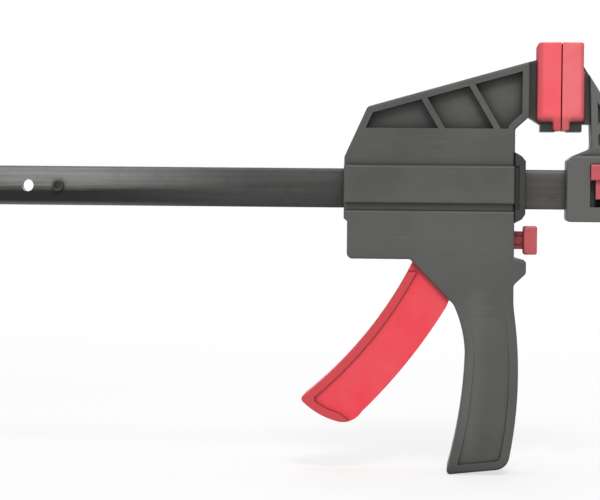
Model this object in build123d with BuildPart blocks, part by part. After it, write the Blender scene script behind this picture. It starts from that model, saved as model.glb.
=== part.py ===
"""Quick release bar clamp with a pistol grip.

The frame: origin at the centre of the bar's hanging hole, X along the bar towards the jaws,
Z up towards the jaw arms, Y across the bar. All sizes are in millimetres.
"""

import math
import os

from build123d import *

# Bar
bar_length = 332.0
bar_height = 21.0
bar_thickness = 6.0
bar_edge_radius = 1.8
bar_end_reach = 30.6  # bar end past the plane where the pads meet
hole_radius = 3.25
hole_inset = 17.2  # hanging hole to the bar's free end
stop_pitch = 16.9  # hanging hole to the stop pin
stop_pin_radius = 3.0
stop_pin_length = 12.0
stop_pin_cup_radius = 1.8
stop_pin_cup_depth = 1.0

# Fits
slide_clearance = 0.3  # round the bar, on each side
moving_gap = 0.3  # between pieces that move past each other
seat_gap = 0.1  # between pieces that are fixed to each other
press_clearance = 0.01  # radial, pin held in its hole
running_clearance = 0.05  # radial, pin that something turns on

# Jaw faces and their pads
pad_gap = 0.3
pad_face = 3.0
pad_half = 13.0
pad_cap = 3.4
pad_height = 46.2
pad_front_drop = 4.5
lip_thickness = 2.4
lip_reach = 4.6
fixed_lip_height = 27.6  # the moving jaw's pad has its lips up to its top
plate_thickness = 7.6
plate_half = 10.3
plate_tail = 0.5  # plate showing under the pad's face
throat = 20.5  # bar's top edge to the pad's lower end

# Sliding body, side profile
body_rear = 113.6  # clamping plane to the rear face
body_front = 23.9
body_depth = 26.7  # below the bar
rear_step = 1.85
step_top = 5.4  # below the bar
step_bottom = 7.0
rear_corner = 6.0  # above the bar
arm_top_rear = 32.6
arm_rear_x = 101.5
arm_top_front = 56.6
arm_under_front = 27.9
neck_length = 3.35  # arm's end to the pad's lips
neck_under = 23.6  # neck's lower edge at the face plate
arm_root = 21.1
skirt_x = 78.5  # front end of the body's lower edge
web_x = 55.3  # where the skirt runs into the grip
web_depth = 50.3
nose_reach = 17.5
nose_top = 25.5
nose_fall = 1.8  # of its upper side, to its front
nose_chin = 6.1  # height of the slant under its front
nose_height = 14.25
grip_depth = 140.2
grip_tail_x = 58.7
heel_x = 26.35
heel_rise = 3.5
# Depths below the bar and places along it where the grip's straps pass
back_strap_top = 51.0
back_strap_middle = (21.0, 86.5)
front_strap_middle = (51.0, 102.25)
front_strap_top = (49.15, 80.0)

# Sliding body, thickness
shell_wall = 2.6
trigger_wall = 3.1  # beside the trigger's room
band_wall = 2.0
rim = 3.8  # rim round the pockets
grip_rim = 4.6  # rim round the grip's panel
pocket_depth = 5.5
panel_depth = 1.4  # at the tail
panel_start_depth = 0.15  # at its upper end
panel_slant = 0.9  # degrees
panel_top = 55.5  # below the bar
pocket_rise = 21.3
rib_width = 3.0
rib_pitch = 29.2
first_rib_x = 72.8  # where the rear rib crosses mid-height
rib_angle = 59.5
band_above = 1.8  # band past the bar's top edge
band_below = -2.8
groove_height = 3.7
edge_round = 1.2

# Front guide collar
guide_flange = 3.1
guide_groove = 2.4
guide_groove_depth = 1.5
guide_neck = 3.6  # length inside the shells
guide_lip = 1.2
guide_neck_rise = 13.0
guide_reach = 18.2  # clamping plane to the collar's front face
guide_top = 9.0  # above the bar, at the body
guide_shoulder = (2.2, 7.1)  # behind its front face, above the bar
guide_front_top = 4.4
guide_front_bottom = 2.4  # below the bar
guide_foot = (1.8, 5.2)  # behind its front face, below the bar
guide_bottom = 7.2
guide_round = 0.8
guide_groove_above = 2.0
guide_groove_below = 0.3
guide_half = 14.0
neck_half = 8.0

# Trigger
trigger_half = 11.0
flange_half = 12.5
flange_thickness = 4.4
flange_start = 14.6  # below the pivot
pivot_x = 59.6
pivot_depth = 18.9
pivot_pin_radius = 2.5
trigger_pull = 22.0  # degrees
boss_radius = 8.0
nose_radius = 4.0
nose_back = 4.0  # trigger's pushing nose, behind the pivot
nose_rise = 14.3  # and above it
# Points on the trigger's outline, seen from the pivot
head_front = (-17.8, -9.7)
front_middle = (-46.3, -52.9)
toe = (-76.6, -82.2)
sole_middle = (-66.7, -90.1)
sole_end = (-56.4, -94.2)
heel = (-43.6, -88.9)
back_middle = (-21.9, -64.9)
back_top = (0.7, -32.5)
head_back = (6.6, -17.0)
finger_start = 40.0  # below the pivot, where the outer edges are rounded
back_in_body = (-11.2, -51.0)  # the edges' lowest points that pass into the body
front_in_body = (-30.0, -30.0)

# Drive plates and their spring
drive_thickness = 2.6
drive_half = 10.5
drive_above = 4.0
drive_below = 7.3
drive_travel = 5.6
drive_wire = 1.8
drive_turns = 7
drive_spring_length = 30.0

# Brake plate, its spring and the release button
brake_thickness = 3.0
brake_half = 10.0
brake_tail_half = 6.0
brake_above = 5.0
brake_below = 21.0
brake_tilt = 6.0  # degrees, at rest
brake_clearance = 0.3  # slot to bar, on each side, when tilted
brake_wire = 0.9
brake_coil_radius = 3.6
brake_turns = 5
brake_spring_depth = 9.6
brake_spring_length = 12.0
button_depth = 16.3  # button's centre, below the bar
button_head_height = 15.1
button_head_width = 16.0
button_head_thickness = 7.4
button_neck_height = 9.4
button_neck_width = 10.0
button_neck = 4.8  # neck showing outside the body
button_flange = 1.5
front_wall = 2.3

# Fixed jaw
jaw_near = 3.2  # clamping plane to the jaw's inner side
jaw_far = 34.0
jaw_half = 15.0
jaw_arm_half = 12.0
jaw_depth = 6.3  # below the bar
jaw_shoulder = 4.9
jaw_ledge = (6.6, 7.5)  # top of the jaw's hub, above the bar
jaw_foot = 1.3  # the arm's front leans by this
jaw_foot_rise = 11.2
jaw_pocket_depth = 3.5
jaw_pocket_rise = 13.1
jaw_rib = (22.0, 25.5)  # a place on the rib's middle line
jaw_arm_top = 49.7
jaw_neck = 1.35  # jaw's arm to the pad's lips
jaw_neck_root = 1.5  # length of the neck inside the arm
jaw_neck_under = 24.0
jaw_slope = 1.59  # fall of the jaw's back against its run
jaw_bend_x = 30.0
jaw_back_rise = 15.2

# Jaw lock
lock_x = 22.5
lock_head_width = 14.0
lock_head_height = 8.4
lock_head_top = 3.0  # above the bar's top edge
lock_neck_width = 8.4
lock_neck_height = 9.8
lock_face = 5.0
lock_travel = 4.0
lock_proud = 1.5  # head standing out of the jaw's side
lock_pin_end = 8.5
lock_pin_radius = 2.5
lock_pin_drop = 3.4  # lock pin's axis, below the underside of the button's head
lock_wire = 0.7
lock_coil_radius = 2.5
lock_turns = 3
lock_spring_length = 7.0

# Body screws
screw_radius = 1.6
screw_head_radius = 3.2
screw_head_height = 2.2
screw_length = 20.0
head_depth = 3.0
recess_depth = 1.2
recess_length = 4.0
recess_width = 0.9
boss_outer_radius = 4.2
rear_arm_screw = (-98.5, 17.0)  # place along the bar, height above it
front_arm_screw = (-56.0, 14.0)
rear_screw = (-103.5, 17.0)  # place along the bar, depth below it
nose_screw = (-34.0, 34.0)
tail_screw = (-42.0, 126.0)

# Sizes that follow
clamp_x = bar_length - hole_inset - bar_end_reach
bar_half_height = bar_height / 2
bar_half_thickness = bar_thickness / 2
channel_half = bar_half_thickness + slide_clearance
channel_height = bar_height + 2 * slide_clearance
drive_coil_inner = math.hypot(bar_height, bar_thickness) / 2 + slide_clearance
drive_coil_outer = drive_coil_inner + drive_wire
spring_room = drive_coil_outer + moving_gap
band_half = spring_room + band_wall
room_half = drive_half + moving_gap
arm_half = room_half + shell_wall - 1.0
trigger_room_half = trigger_half + moving_gap
lower_half = trigger_room_half + trigger_wall
plate_back = pad_gap / 2 + pad_face + plate_thickness
plate_face = pad_gap / 2 + pad_face
arm_end = plate_back + lip_thickness + neck_length
arm_slope = (arm_top_front - arm_top_rear) / (arm_rear_x - arm_end)
jaw_end = plate_back + lip_thickness + jaw_neck
far_away = 2 * bar_length  # larger than the whole clamp

side = Plane(origin=(clamp_x, 0, 0), x_dir=(1, 0, 0), z_dir=(0, -1, 0))
pivot_z = -bar_half_height - pivot_depth
trigger_place = Plane(origin=(clamp_x - pivot_x, 0, pivot_z), x_dir=(1, 0, 0), z_dir=(0, -1, 0))


def up(height):
    """Height above the bar's top edge."""
    return bar_half_height + height


def down(depth):
    """Depth below the bar's lower edge."""
    return -bar_half_height - depth


def block(x_range, z_range, y_range, mode=Mode.ADD):
    """A block from its ranges along, above and across the bar."""
    low = Vector(clamp_x + x_range[0], y_range[0], z_range[0])
    high = Vector(clamp_x + x_range[1], y_range[1], z_range[1])
    size = high - low
    with Locations((low + high) / 2):
        Box(size.X, size.Y, size.Z, mode=mode)


def box(x_range, z_range, half, mode=Mode.ADD):
    """A block centred across the bar."""
    block(x_range, z_range, (-half, half), mode)


def cross_rod(x, z, radius, y_range, mode=Mode.SUBTRACT):
    """A round hole, or a rod with Mode.ADD, across the bar."""
    with Locations(Location((clamp_x + x, sum(y_range) / 2, z), (90, 0, 0))):
        Cylinder(radius, y_range[1] - y_range[0], mode=mode)


def turned(point, angle):
    """The point, turned about the origin by an angle in degrees."""
    turn = math.radians(angle)
    x, z = point
    return x * math.cos(turn) - z * math.sin(turn), x * math.sin(turn) + z * math.cos(turn)


def hull(points):
    """The corners of the convex outline round some points."""
    corners = []
    for ordered in (sorted(points), sorted(points, reverse=True)):
        chain = []
        for x, z in ordered:
            while len(chain) > 1 and (chain[-1][0] - chain[-2][0]) * (z - chain[-2][1]) <= (
                chain[-1][1] - chain[-2][1]
            ) * (x - chain[-2][0]):
                chain.pop()
            chain.append((x, z))
        corners += chain[:-1]
    return corners


def round_corners(profile, corners):
    """Rounds the profile's corners nearest to the given (x, z, radius)."""
    for x, z, radius in corners:
        fillet(profile.vertices().sort_by_distance((x, z))[0], radius)


def coil(start, axis, length, radius, wire, turns):
    """A helical spring whose wire ends lie within its length."""
    rise = length - wire
    path = Plane(origin=start, z_dir=axis).offset(wire / 2) * Helix(rise / turns, rise, radius)
    with BuildPart() as spring:
        with BuildSketch(Plane(origin=path @ 0, z_dir=path % 0)):
            Circle(wire / 2)
        sweep(path=path, is_frenet=True)
    return spring


# ---------------------------------------------------------------- bar and its stop pin
lock_head_bottom = up(lock_head_top) - lock_head_height
lock_pin_z = lock_head_bottom - lock_pin_drop
lock_slot_z = lock_pin_z - lock_travel
lock_slot_half = lock_pin_radius + slide_clearance

with BuildPart() as bar:
    with BuildSketch(Plane.YZ.offset(-hole_inset)):
        Rectangle(bar_thickness, bar_height)
    extrude(amount=bar_length)
    fillet(bar.edges().filter_by(Axis.X), bar_edge_radius)
    with BuildSketch(Plane.XZ):
        Circle(hole_radius)
        with Locations((stop_pitch, 0)):
            Circle(stop_pin_radius + press_clearance)
    extrude(amount=bar_thickness, both=True, mode=Mode.SUBTRACT)
    # The jaw lock's slot is open at the bar's end and turns up into a pocket for the pin.
    with BuildSketch(side):
        with Locations((lock_x, lock_pin_z), (lock_x, lock_slot_z)):
            Circle(lock_slot_half)
        with Locations((lock_x, (lock_pin_z + lock_slot_z) / 2)):
            Rectangle(2 * lock_slot_half, lock_travel)
        with Locations((lock_x, lock_slot_z)):
            Rectangle(bar_length, 2 * lock_slot_half, align=(Align.MIN, Align.CENTER))
    extrude(amount=bar_thickness, both=True, mode=Mode.SUBTRACT)

with BuildPart() as end_stop_pin:
    with BuildSketch(Plane.XZ):
        with Locations((stop_pitch, 0)):
            Circle(stop_pin_radius)
    extrude(amount=stop_pin_length / 2, both=True)
    chamfer(end_stop_pin.edges().filter_by(GeomType.CIRCLE), 0.4)
    for turn in (-1, 1):
        with Locations(Location((stop_pitch, turn * stop_pin_length / 2, 0), (90, 0, 0))):
            Cylinder(stop_pin_cup_radius, 2 * stop_pin_cup_depth, mode=Mode.SUBTRACT)


# ---------------------------------------------------------------- jaw face plates and pads
plate_bottom = up(throat - plate_tail)
pad_bottom = up(throat)
pad_top = pad_bottom + pad_height
plate_top = pad_top - pad_cap - seat_gap


def face_plate(direction):
    """A jaw's face plate; direction is -1 on the sliding body and 1 on the fixed jaw."""
    box(sorted((direction * plate_face, direction * plate_back)), (plate_bottom, plate_top), plate_half)


def make_pad(direction, lips):
    """A soft cap that slides down over a face plate and hooks its lips, of a given height, behind it."""
    front = direction * pad_gap / 2
    back = direction * (plate_back + seat_gap)
    lip_back = direction * (plate_back + lip_thickness)
    lip_bottom = pad_bottom + pad_front_drop
    with BuildPart() as pad:
        box(sorted((front, back)), (lip_bottom, pad_top), pad_half)
        box(sorted((front, direction * plate_face)), (pad_bottom, pad_top), pad_half)
        pocket = sorted((direction * (plate_face - seat_gap), 2 * back))
        box(pocket, (pad_bottom - pad_height, plate_top + seat_gap), plate_half + seat_gap, Mode.SUBTRACT)
        box(sorted((direction * plate_face, back)), (pad_bottom, lip_bottom), pad_half, Mode.SUBTRACT)
        box(sorted((back - direction * seat_gap, lip_back)), (lip_bottom, lip_bottom + lips), pad_half)
        box(
            sorted((back - 2 * direction * seat_gap, 2 * lip_back)),
            (pad_bottom, pad_top),
            pad_half - lip_reach,
            Mode.SUBTRACT,
        )
    return pad


moving_jaw_pad = make_pad(-1, pad_height - pad_front_drop)
fixed_jaw_pad = make_pad(1, fixed_lip_height)


# ---------------------------------------------------------------- sliding body, both halves as one
band_top = up(band_above)
band_bottom = down(band_below)
lower_top = band_bottom - groove_height
low_rear = body_rear - rear_step
nose_bottom = nose_top + nose_height
pocket_bottom = up(pocket_rise)

with BuildSketch() as body_profile:
    with BuildLine():
        rear_and_arm = Polyline(
            (-web_x, down(web_depth)),
            (-skirt_x, down(body_depth)),
            (-low_rear, down(body_depth)),
            (-low_rear, down(step_bottom)),
            (-body_rear, down(step_top)),
            (-body_rear, up(rear_corner)),
            (-arm_rear_x, up(arm_top_rear)),
            (-arm_end, up(arm_top_front)),
            (-arm_end, up(arm_under_front)),
            (-body_front, up(arm_root)),
            (-body_front, down(nose_top)),
            (-nose_reach, down(nose_top + nose_fall)),
            (-nose_reach, down(nose_bottom - nose_chin)),
            (-body_front, down(nose_bottom)),
            (-body_front, down(back_strap_top)),
        )
        back_strap = ThreePointArc(
            rear_and_arm @ 1,
            (-back_strap_middle[0], down(back_strap_middle[1])),
            (-heel_x, down(grip_depth - heel_rise)),
        )
        Line(back_strap @ 1, (-grip_tail_x, down(grip_depth)))
        front_strap = ThreePointArc(
            (-grip_tail_x, down(grip_depth)),
            (-front_strap_middle[0], down(front_strap_middle[1])),
            (-front_strap_top[0], down(front_strap_top[1])),
        )
        TangentArc(front_strap @ 1, rear_and_arm @ 0, tangent=front_strap % 1)
    make_face()
    round_corners(
        body_profile,
        (
            (-web_x, down(web_depth), 5.0),
            (-skirt_x, down(body_depth), 1.5),
            (-low_rear, down(body_depth), 3.0),
            (-body_rear, up(rear_corner), 4.0),
            (-arm_rear_x, up(arm_top_rear), 3.0),
            (-body_front, up(arm_root), 2.0),
            (-nose_reach, down(nose_top + nose_fall), 1.5),
            (-nose_reach, down(nose_bottom - nose_chin), 2.0),
            (-body_front, down(nose_bottom), 3.0),
            (-body_front, down(back_strap_top), 60.0),
            (-heel_x, down(grip_depth - heel_rise), 8.0),
            (-grip_tail_x, down(grip_depth), 2.0),
        ),
    )

# The trigger's head, from its back edge round the nose to its front edge, seen from the pivot
nose = (-nose_back, nose_rise)
head_outline = (
    back_top,
    head_back,
    (boss_radius, 0),
    (nose[0] + nose_radius + 1.0, nose[1] - 2.0),
    (nose[0] + nose_radius, nose[1] + nose_radius),
    (nose[0] - nose_radius, nose[1] + nose_radius),
    (nose[0] - nose_radius, nose[1] - nose_radius),
    (-14.0, 1.0),
    head_front,
)
with BuildSketch() as trigger_profile:
    with BuildLine():
        front = ThreePointArc(head_front, front_middle, toe)
        sole = ThreePointArc(toe, sole_middle, sole_end)
        round_end = TangentArc(sole_end, heel, tangent=sole % 1)
        ThreePointArc(heel, back_middle, back_top)
        Polyline(*head_outline)
    make_face()
    round_corners(
        trigger_profile,
        (
            (*toe, 2.2),
            (*heel, 12.0),
            (*back_top, 6.0),
            (boss_radius, 0, 5.0),
            (*head_outline[4], nose_radius - 1.0),
            (*head_outline[5], nose_radius - 0.1),
        ),
    )

# The room that the trigger's head sweeps inside the body: round its outline at rest and pulled.
swept = [*head_outline, back_in_body, front_in_body]
swept += [turned(point, trigger_pull) for point in swept]
with BuildSketch() as trigger_room:
    with Locations((-pivot_x, pivot_z)):
        Polygon(*hull(swept), align=None)
    offset(amount=1.0)
    # It stays under the bar.
    with Locations((0, down(slide_clearance))):
        Rectangle(far_away, far_away, align=(Align.CENTER, Align.MAX), mode=Mode.INTERSECT)

plates_right = -pivot_x - nose_back - nose_radius - moving_gap
plates_left = plates_right - 2 * drive_thickness
spring_right = plates_left - moving_gap
spring_left = spring_right - drive_spring_length

# The brake plate turns about the rounded top of its middle plane, and leans forward at rest.
tilt = math.radians(brake_tilt)
button_z = down(button_depth)
button_half = button_neck_height / 2
flange_rise = button_half + button_flange
brake_top_z = up(brake_above)
brake_arm = brake_top_z - button_z
button_travel = brake_arm * math.sin(tilt)
flange_right = -body_front - front_wall - moving_gap
flange_left = flange_right - button_flange
brake_face_x = flange_left - moving_gap - flange_rise * math.tan(tilt)
brake_top_x = brake_face_x - brake_thickness / 2 / math.cos(tilt) - brake_arm * math.tan(tilt)
brake_pivot = (clamp_x + brake_top_x, 0, brake_top_z)
brake_released = Plane(origin=brake_pivot, x_dir=(1, 0, 0), z_dir=(0, -1, 0))
brake_rest = Plane(origin=brake_pivot, x_dir=(math.cos(tilt), 0, math.sin(tilt)), z_dir=(0, -1, 0))
brake_length = brake_above + bar_height + brake_below
brake_body_length = brake_above + bar_height + 5.0
brake_slot = (bar_height + 2 * brake_clearance + brake_thickness * math.sin(tilt)) / math.cos(tilt)
brake_slot_drop = brake_top_z / math.cos(tilt)
brake_socket = brake_thickness / 2 + running_clearance
brake_room_half = brake_thickness / 2 + moving_gap
brake_room_depth = brake_length + moving_gap
brake_spring_z = down(brake_spring_depth)
brake_coil_outer = brake_coil_radius + brake_wire / 2
brake_spring_right = (
    brake_top_x
    + (brake_top_z - brake_spring_z - brake_coil_outer) * math.tan(tilt)
    - brake_thickness / 2 / math.cos(tilt)
    - moving_gap
)
brake_spring_left = brake_spring_right - brake_spring_length

# Screws that join the shells: place along the bar, height, and how far out their face lies
screw_places = (
    (rear_arm_screw[0], up(rear_arm_screw[1]), arm_half),
    (front_arm_screw[0], up(front_arm_screw[1]), arm_half),
    (rear_screw[0], down(rear_screw[1]), lower_half),
    (nose_screw[0], down(nose_screw[1]), lower_half),
    (tail_screw[0], down(tail_screw[1]), lower_half - panel_depth),
)


def rounded_slab(profile, half, radius):
    """A slab of the given outline, centred across the bar, with its outer edges rounded."""
    with BuildPart() as slab:
        with BuildSketch(side):
            add(profile)
        extrude(amount=half, both=True)
        fillet(slab.faces().filter_by(Axis.Y).edges(), radius)
    return slab.part


def cut_both_faces(profile, floor_half):
    """Sinks an outline into both sides of the current part, down to the given half thickness."""
    for turn in (-1, 1):
        with Locations(Location((clamp_x, -turn * floor_half, 0), (90, 0, 0))):
            add(extrude(profile, amount=turn * bar_length, mode=Mode.PRIVATE), mode=Mode.SUBTRACT)


def above(height):
    """Keeps what the current sketch has above a height."""
    with Locations((0, height)):
        Rectangle(far_away, far_away, align=(Align.CENTER, Align.MIN), mode=Mode.INTERSECT)


def below(height):
    """Keeps what the current sketch has below a height."""
    with Locations((0, height)):
        Rectangle(far_away, far_away, align=(Align.CENTER, Align.MAX), mode=Mode.INTERSECT)


with BuildSketch() as lower_profile:
    add(body_profile.sketch)
    below(lower_top)
with BuildSketch() as band_profile:
    with Locations((-(body_rear + body_front) / 2, (band_top + band_bottom) / 2)):
        Rectangle(body_rear - body_front, band_top - band_bottom)
with BuildSketch() as pocket_profile:
    add(body_profile.sketch)
    offset(amount=-rim)
    above(pocket_bottom)
    rib_middle = (pocket_bottom + up(arm_top_front)) / 2
    with Locations((-first_rib_x, rib_middle), (-first_rib_x + rib_pitch, rib_middle)):
        Rectangle(rib_width, bar_length, rotation=90 - rib_angle, mode=Mode.SUBTRACT)
with BuildSketch() as panel_profile:
    add(body_profile.sketch)
    offset(amount=-grip_rim)
    below(down(panel_top))
with BuildSketch() as arm_hollow:
    add(body_profile.sketch)
    offset(amount=-rim - 1.0)
    above(up(drive_above + 4.0))
with BuildSketch() as grip_hollow:
    add(body_profile.sketch)
    offset(amount=-rim - 1.0)
    below(down(panel_top + 8.0))

with BuildPart() as body_blank:
    add(rounded_slab(body_profile.sketch, arm_half, edge_round))
    add(rounded_slab(lower_profile.sketch, lower_half, edge_round))
    add(rounded_slab(band_profile.sketch, band_half, edge_round))
    # Neck and face plate, which the pad's lips hook behind
    neck_side = pad_half - lip_reach - moving_gap
    with BuildSketch(side):
        Polygon(
            (-arm_end - 1, up(arm_under_front)),
            (-plate_back, up(neck_under)),
            (-plate_back, up(arm_top_front + arm_slope * (arm_end - plate_back))),
            (-arm_end - 1, up(arm_top_front - arm_slope)),
            align=None,
        )
    extrude(amount=neck_side, both=True)
    face_plate(-1)
    cut_both_faces(pocket_profile.sketch, arm_half - pocket_depth)
    # The grip's panel gets deeper towards the tail.
    for turn in (-1, 1):
        place = Location((clamp_x, -turn * (lower_half - 2 * panel_depth), 0), (90, 0, 0))
        panel_floor = Plane(
            origin=(clamp_x, -turn * (lower_half - panel_start_depth), down(panel_top)),
            x_dir=(1, 0, 0),
            z_dir=(0, -turn, -math.tan(math.radians(panel_slant))),
        )
        panel_tool = place * extrude(panel_profile.sketch, amount=turn * bar_length, mode=Mode.PRIVATE)
        add(split(panel_tool, bisect_by=panel_floor, keep=Keep.TOP, mode=Mode.PRIVATE), mode=Mode.SUBTRACT)
    # Hollows, with bosses left for the screws
    inner_half = arm_half - pocket_depth - shell_wall
    grip_inner_half = lower_half - panel_depth - shell_wall
    with BuildSketch(side):
        add(arm_hollow.sketch)
    extrude(amount=inner_half, both=True, mode=Mode.SUBTRACT)
    with BuildSketch(side):
        add(grip_hollow.sketch)
    extrude(amount=grip_inner_half, both=True, mode=Mode.SUBTRACT)
    box(
        (-low_rear + shell_wall, -skirt_x - 2 * shell_wall),
        (down(body_depth - shell_wall), down(5.5)),
        lower_half - shell_wall,
        Mode.SUBTRACT,
    )
    for screw_x, screw_z, face_half in screw_places:
        boss_half = face_half - edge_round
        cross_rod(screw_x, screw_z, boss_outer_radius, (-boss_half, boss_half), Mode.ADD)
    # Room for the bar, the drive spring and the drive plates
    box((-2 * body_rear, 0), (-channel_height / 2, channel_height / 2), channel_half, Mode.SUBTRACT)
    with Locations(Location((clamp_x + spring_left - moving_gap, 0, 0), (0, 90, 0))):
        Cylinder(
            spring_room,
            drive_spring_length + 2 * moving_gap,
            align=(Align.CENTER, Align.CENTER, Align.MIN),
            mode=Mode.SUBTRACT,
        )
    box(
        (plates_left - drive_travel - moving_gap, plates_right + moving_gap),
        (down(drive_below + moving_gap), up(drive_above + moving_gap)),
        room_half,
        Mode.SUBTRACT,
    )
    # Room for the trigger's head and its pivot pin
    with BuildSketch(side):
        add(trigger_room.sketch)
    extrude(amount=trigger_room_half, both=True, mode=Mode.SUBTRACT)
    pin_half = lower_half - 1.0
    cross_rod(-pivot_x, pivot_z, pivot_pin_radius + press_clearance, (-pin_half, pin_half))
    # Room for the brake plate, upright and tilted, below the round socket for its top
    with BuildSketch(brake_released):
        Circle(brake_socket)
        Polygon(
            (-brake_socket, 0),
            (brake_socket, 0),
            (brake_room_half + brake_socket * math.tan(tilt), -brake_socket),
            (brake_room_half + brake_room_depth * math.tan(tilt), -brake_room_depth),
            (-brake_room_half, -brake_room_depth),
            (-brake_room_half, -brake_socket),
            align=None,
        )
    extrude(amount=brake_half + moving_gap, both=True, mode=Mode.SUBTRACT)
    with Locations(Location((clamp_x + brake_spring_left - moving_gap, 0, brake_spring_z), (0, 90, 0))):
        Cylinder(
            brake_coil_outer + moving_gap,
            brake_spring_length,
            align=(Align.CENTER, Align.CENTER, Align.MIN),
            mode=Mode.SUBTRACT,
        )
    # Room for the release button's neck and flange, at rest and pressed
    pressed_left = flange_left - button_travel - moving_gap
    box(
        (pressed_left, 0),
        (button_z - button_half - moving_gap, button_z + button_half + moving_gap),
        button_neck_width / 2 + moving_gap,
        Mode.SUBTRACT,
    )
    box(
        (pressed_left, flange_right + moving_gap),
        (button_z - flange_rise - moving_gap, button_z + flange_rise + moving_gap),
        button_neck_width / 2 + button_flange + moving_gap,
        Mode.SUBTRACT,
    )
    # Socket for the front guide
    guide_socket = body_front + guide_neck + seat_gap
    guide_lip_x = body_front + guide_neck - guide_lip
    socket_rise = guide_neck_rise + seat_gap
    box((-guide_socket, 0), (-socket_rise, socket_rise), neck_half + seat_gap, Mode.SUBTRACT)
    box(
        (-guide_socket, -guide_lip_x + seat_gap),
        (-socket_rise, socket_rise),
        neck_half + guide_lip + seat_gap,
        Mode.SUBTRACT,
    )

with BuildPart() as near_body_shell:
    add(body_blank.part)
    split(bisect_by=Plane.XZ, keep=Keep.TOP)
    for screw_x, screw_z, face_half in screw_places:
        tip = face_half - head_depth - screw_length
        cross_rod(screw_x, screw_z, screw_radius + press_clearance, (tip - 1, 0))

with BuildPart() as far_body_shell:
    add(body_blank.part)
    split(bisect_by=Plane.XZ, keep=Keep.BOTTOM)
    for screw_x, screw_z, face_half in screw_places:
        cross_rod(screw_x, screw_z, screw_radius + seat_gap, (0, face_half))
        cross_rod(screw_x, screw_z, screw_head_radius + seat_gap, (face_half - head_depth, lower_half + 1))

with BuildPart() as body_screws:
    for screw_x, screw_z, face_half in screw_places:
        seat = face_half - head_depth
        cross_rod(screw_x, screw_z, screw_radius, (seat - screw_length, seat + screw_head_height / 2), Mode.ADD)
        cross_rod(screw_x, screw_z, screw_head_radius, (seat, seat + screw_head_height), Mode.ADD)
        for turn in (0, 90):
            with Locations(Location((clamp_x + screw_x, seat + screw_head_height, screw_z), (0, turn, 0))):
                Box(recess_length, 2 * recess_depth, recess_width, mode=Mode.SUBTRACT)

# ---------------------------------------------------------------- front guide collar
with BuildPart() as front_guide:
    with BuildSketch(side):
        Polygon(
            (-body_front + seat_gap, down(guide_bottom)),
            (-body_front + seat_gap, up(guide_top)),
            (-guide_reach - guide_shoulder[0], up(guide_shoulder[1])),
            (-guide_reach, up(guide_front_top)),
            (-guide_reach, down(guide_front_bottom)),
            (-guide_reach - guide_foot[0], down(guide_foot[1])),
            align=None,
        )
    extrude(amount=guide_half, both=True)
    fillet(front_guide.faces().filter_by(Axis.Y).edges(), guide_round)
    groove_x = -guide_reach - guide_flange
    groove_range = (groove_x - guide_groove, groove_x)
    groove_heights = (down(guide_groove_below), up(guide_groove_above))
    for turn in (-1, 1):
        groove_depth = sorted((turn * (guide_half - guide_groove_depth), turn * 2 * guide_half))
        block(groove_range, groove_heights, groove_depth, Mode.SUBTRACT)
    box((-body_front - guide_neck, groove_x), (-guide_neck_rise, guide_neck_rise), neck_half)
    box(
        (-body_front - guide_neck, -guide_lip_x),
        (-guide_neck_rise, guide_neck_rise),
        neck_half + guide_lip,
    )
    box((-2 * body_rear, 0), (-channel_height / 2, channel_height / 2), channel_half, Mode.SUBTRACT)

# ---------------------------------------------------------------- trigger and its pivot pin
def inward(edge, t):
    """A point the flange's thickness inside an edge of the trigger's outline."""
    direction = edge % t
    return edge @ t + Vector(-direction.Y, direction.X) * flange_thickness


# Its web lies deeper than the flange along its front edge and round its lower end.
with BuildSketch() as trigger_recess:
    with BuildLine():
        front_inside = ThreePointArc(inward(front, 0), inward(front, 0.5), inward(front, 0.93))
        sole_inside = ThreePointArc(inward(sole, 0.3), inward(sole, 0.65), inward(sole, 1))
        Line(front_inside @ 1, sole_inside @ 0)
        Polyline(
            sole_inside @ 1,
            round_end @ 0.5 + (flange_thickness, -flange_thickness),
            (grip_depth, -grip_depth),
            (grip_depth, 0),
            front_inside @ 0,
        )
    make_face()
    with Locations((0, -flange_start)):
        Rectangle(far_away, far_away, align=(Align.CENTER, Align.MIN))

with BuildPart() as trigger:
    with BuildSketch(trigger_place):
        add(trigger_profile.sketch)
    extrude(amount=flange_half, both=True)
    outline = trigger.faces().filter_by(Axis.Y).edges()
    fillet(outline.filter_by(lambda edge: edge.center().Z < pivot_z - finger_start), edge_round - 0.4)
    for turn in (-1, 1):
        with BuildSketch(trigger_place.offset(turn * trigger_half)):
            add(trigger_recess.sketch)
        extrude(amount=turn * bar_length, mode=Mode.SUBTRACT)
    cross_rod(-pivot_x, pivot_z, pivot_pin_radius + running_clearance, (-lower_half, lower_half))

with BuildPart() as trigger_pivot_pin:
    cross_rod(-pivot_x, pivot_z, pivot_pin_radius, (-pin_half + seat_gap, pin_half - seat_gap), Mode.ADD)
    chamfer(trigger_pivot_pin.edges().filter_by(GeomType.CIRCLE), 0.5)


# ---------------------------------------------------------------- drive plates, brake and springs
def drive_plate(left):
    """A steel plate round the bar, with its rear face at the given place."""
    with BuildPart() as plate:
        box((left, left + drive_thickness), (down(drive_below), up(drive_above)), drive_half)
        fillet(plate.edges().filter_by(Axis.X), 3.0)
        box((-2 * body_rear, 0), (-channel_height / 2, channel_height / 2), channel_half, Mode.SUBTRACT)
    return plate


rear_drive_plate = drive_plate(plates_left)
front_drive_plate = drive_plate(plates_left + drive_thickness)

drive_spring = coil(
    (clamp_x + spring_left, 0, 0),
    (1, 0, 0),
    drive_spring_length,
    drive_coil_inner + drive_wire / 2,
    drive_wire,
    drive_turns,
)

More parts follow.
